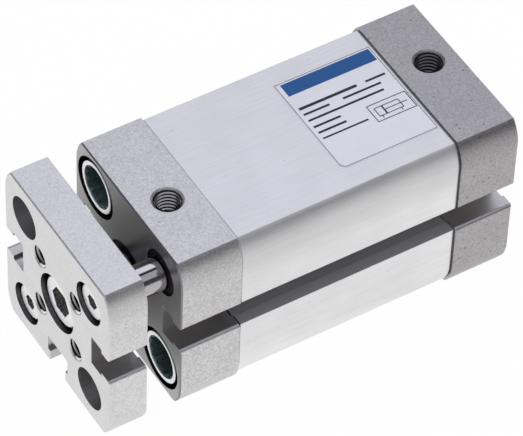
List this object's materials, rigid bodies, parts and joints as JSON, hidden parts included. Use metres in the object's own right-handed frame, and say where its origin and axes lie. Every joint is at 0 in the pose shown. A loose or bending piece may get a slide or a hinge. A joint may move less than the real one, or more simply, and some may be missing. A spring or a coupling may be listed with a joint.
{
  "type": "guided pneumatic cylinder",
  "caption": "Compact double-acting air cylinder with square slotted body, air ports on top, and a square yoke plate held against turning by guide rods beside the piston rod.",
  "frame": {"origin": "centre of the rear mounting face, on the rod's axis, at the mouth of the centring recess", "axes": "+X the way the rod advances, +Z the face with the air ports, +Y to the left seen from behind the cylinder"},
  "size_m": [0.0808, 0.0356, 0.0356],
  "materials": {
    "barrel_profile": "satin anodised extrusion with fine draw lines",
    "cap_casting": "fine blasted, matt anodised",
    "rear_cap_casting": "fine blasted, matt anodised, a shade darker",
    "plate_aluminium": "fine blasted, matt anodised",
    "rod_steel": "ground and polished",
    "screw_steel": "bright zinc plated",
    "piston_aluminium": "turned",
    "bush_bronze": "sintered, dry running",
    "gasket_rubber": "matt",
    "seal_rubber": "matt black",
    "cushion_polyurethane": "semi-matt",
    "band_plastic": "smooth",
    "magnet_ferrite": "sintered"
  },
  "bodies": {
    "housing": {"barrel": "barrel_profile", "rear_gasket": "gasket_rubber", "front_gasket": "gasket_rubber", "front_cap": "cap_casting", "rear_cap": "rear_cap_casting", "rod_bush": "bush_bronze", "upper_guide_bush": "bush_bronze", "lower_guide_bush": "bush_bronze", "rod_wiper_seal": "seal_rubber", "upper_guide_wiper": "seal_rubber", "lower_guide_wiper": "seal_rubber", "rear_cushion_ring": "cushion_polyurethane", "front_cushion_ring": "cushion_polyurethane", "front_collar_screw_upper": "screw_steel", "front_collar_screw_lower": "screw_steel", "rear_collar_screw_1": "screw_steel", "rear_collar_screw_2": "screw_steel", "rear_collar_screw_3": "screw_steel", "rear_collar_screw_4": "screw_steel"},
    "slider": {"yoke_plate": "plate_aluminium", "piston_rod": "rod_steel", "upper_guide_rod": "rod_steel", "lower_guide_rod": "rod_steel", "rod_screw": "screw_steel", "upper_guide_rod_screw": "screw_steel", "lower_guide_rod_screw": "screw_steel", "front_piston_half": "piston_aluminium", "rear_piston_half": "piston_aluminium", "piston_magnet": "magnet_ferrite", "piston_guide_band": "band_plastic", "front_piston_seal": "cushion_polyurethane", "rear_piston_seal": "cushion_polyurethane", "piston_nut": "screw_steel"}
  },
  "joints": [
    {"name": "rod_slide", "type": "slide", "parent": "housing", "child": "slider", "axis": [1, 0, 0], "range_m": [0, 0.03]}
  ]
}
